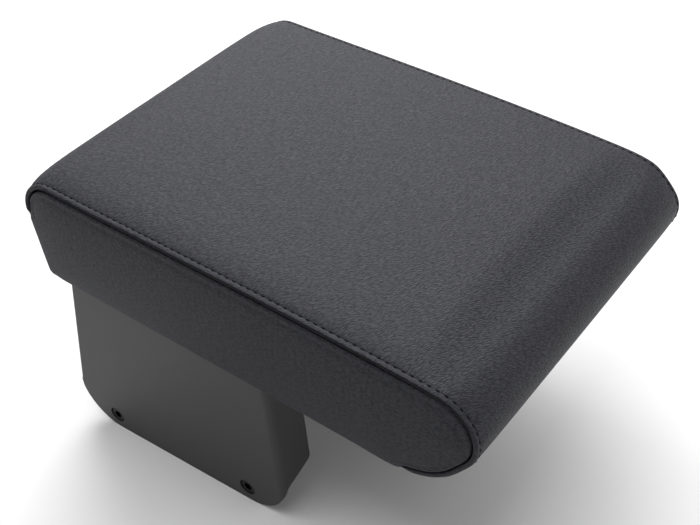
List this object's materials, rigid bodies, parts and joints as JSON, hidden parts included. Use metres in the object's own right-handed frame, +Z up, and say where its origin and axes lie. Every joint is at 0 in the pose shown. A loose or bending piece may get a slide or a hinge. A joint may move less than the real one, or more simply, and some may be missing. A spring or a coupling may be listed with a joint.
{
  "type": "car centre armrest",
  "caption": "Padded black leather armrest lid with a wedge profile and rounded nose, hinged at the rear on a moulded saddle that straddles a car's centre console.",
  "frame": {"origin": "under the middle of the whole armrest, level with the saddle's feet", "axes": "+X towards the lid's nose, +Y to the armrest's left side, +Z up from the feet"},
  "size_m": [0.3064, 0.221, 0.1927],
  "materials": {
    "black_leather": "satin",
    "seat_foam": "matte",
    "black_abs": "matte",
    "black_oxide_steel": "satin",
    "zinc_steel": "satin",
    "nylon": "satin",
    "buffer_rubber": "matte"
  },
  "bodies": {
    "support": {"support_shell": "black_abs", "console_screws_left": "black_oxide_steel", "console_screws_right": "black_oxide_steel", "hinge_leaf_lower": "zinc_steel", "hinge_pin": "zinc_steel", "hinge_screws_lower": "zinc_steel", "retaining_washers_left": "nylon", "retaining_washers_right": "nylon", "lid_buffers": "buffer_rubber"},
    "lid": {"top_cover": "black_leather", "side_cover_left": "black_leather", "side_cover_right": "black_leather", "foam_pad": "seat_foam", "lid_base": "black_abs", "underside_panel": "black_abs", "underside_screws": "black_oxide_steel", "hinge_leaf_upper": "zinc_steel", "hinge_screws_upper": "zinc_steel"}
  },
  "joints": [
    {"name": "lid_hinge", "type": "hinge", "parent": "support", "child": "lid", "pos_m": [-0.13706, 0, 0.11842], "axis": [0, -1, 0], "range_deg": [0, 98]}
  ]
}
